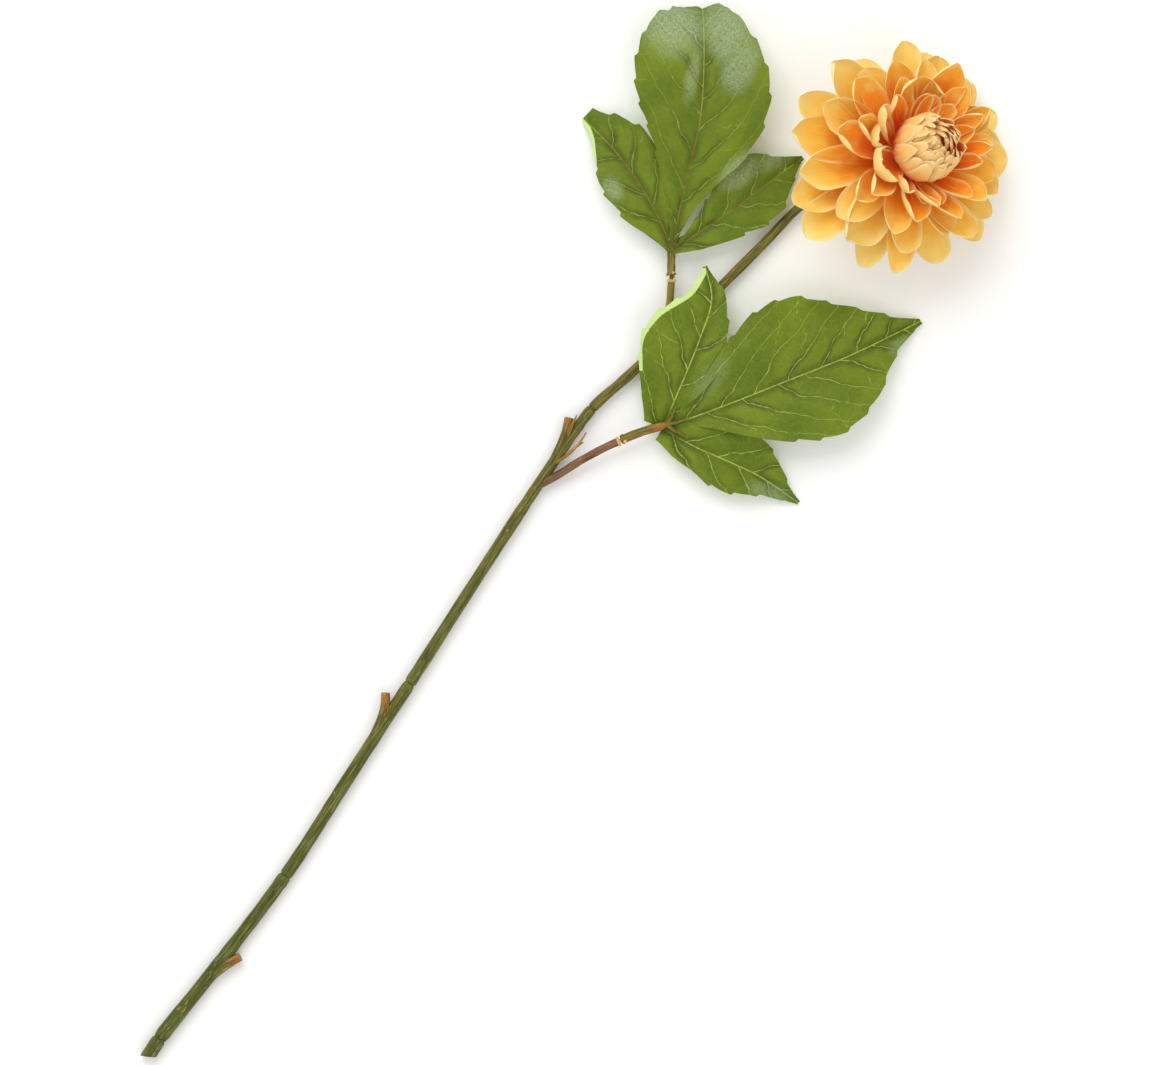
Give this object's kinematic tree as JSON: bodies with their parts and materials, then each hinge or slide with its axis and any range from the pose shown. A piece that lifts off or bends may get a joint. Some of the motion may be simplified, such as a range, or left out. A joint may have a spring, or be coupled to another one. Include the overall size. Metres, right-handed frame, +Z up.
{
  "type": "artificial dahlia flower stem",
  "caption": "Artificial dahlia on a long jointed stem, lying down, with a full head of cupped yellow-orange fabric petals and lobed green leaves.",
  "frame": {"origin": "on the surface it lies on, under the middle of the whole piece's box", "axes": "+Y along the stem from its cut end towards the flower, +Z up from the surface it lies on, +X to the right when it is seen from above with the flower away"},
  "size_m": [0.1876, 0.5784, 0.062],
  "materials": {
    "stem_plastic": "olive green moulded plastic with fine lengthwise grain",
    "wire_steel": "plain drawn steel",
    "twig_plastic": "pinkish brown moulded plastic",
    "rib_plastic": "olive and orange-brown moulded plastic",
    "leaf_fabric": "printed green fabric with light veins, pale underside",
    "calyx_plastic": "green moulded plastic",
    "petal_fabric": "dyed fabric, deep orange at the foot to cream yellow at the rim",
    "bud_fabric": "dyed fabric, cream tips over reddish feet"
  },
  "bodies": {
    "root": {"stem_end_sleeve": "stem_plastic", "stem_lower_sleeve": "stem_plastic", "stem_middle_sleeve": "stem_plastic", "stem_branching_sleeve": "stem_plastic", "stem_upper_sleeve": "stem_plastic", "stem_wire": "wire_steel", "lower_leaf_twig": "twig_plastic", "upper_leaf_twig": "twig_plastic", "lower_leaf_rib": "rib_plastic", "upper_leaf_rib": "rib_plastic", "lower_leaf_blade": "leaf_fabric", "upper_leaf_blade": "leaf_fabric", "head_post": "calyx_plastic", "calyx": "calyx_plastic", "petal_layer_1": "petal_fabric", "petal_layer_2": "petal_fabric", "petal_layer_3": "petal_fabric", "petal_layer_4": "petal_fabric", "petal_layer_5": "petal_fabric", "petal_layer_6": "petal_fabric", "petal_layer_7": "petal_fabric", "bud_row_1": "bud_fabric", "bud_row_2": "bud_fabric", "bud_row_3": "bud_fabric", "bud_row_4": "bud_fabric", "bud_row_5": "bud_fabric", "bud_heart": "bud_fabric"}
  },
  "joints": []
}
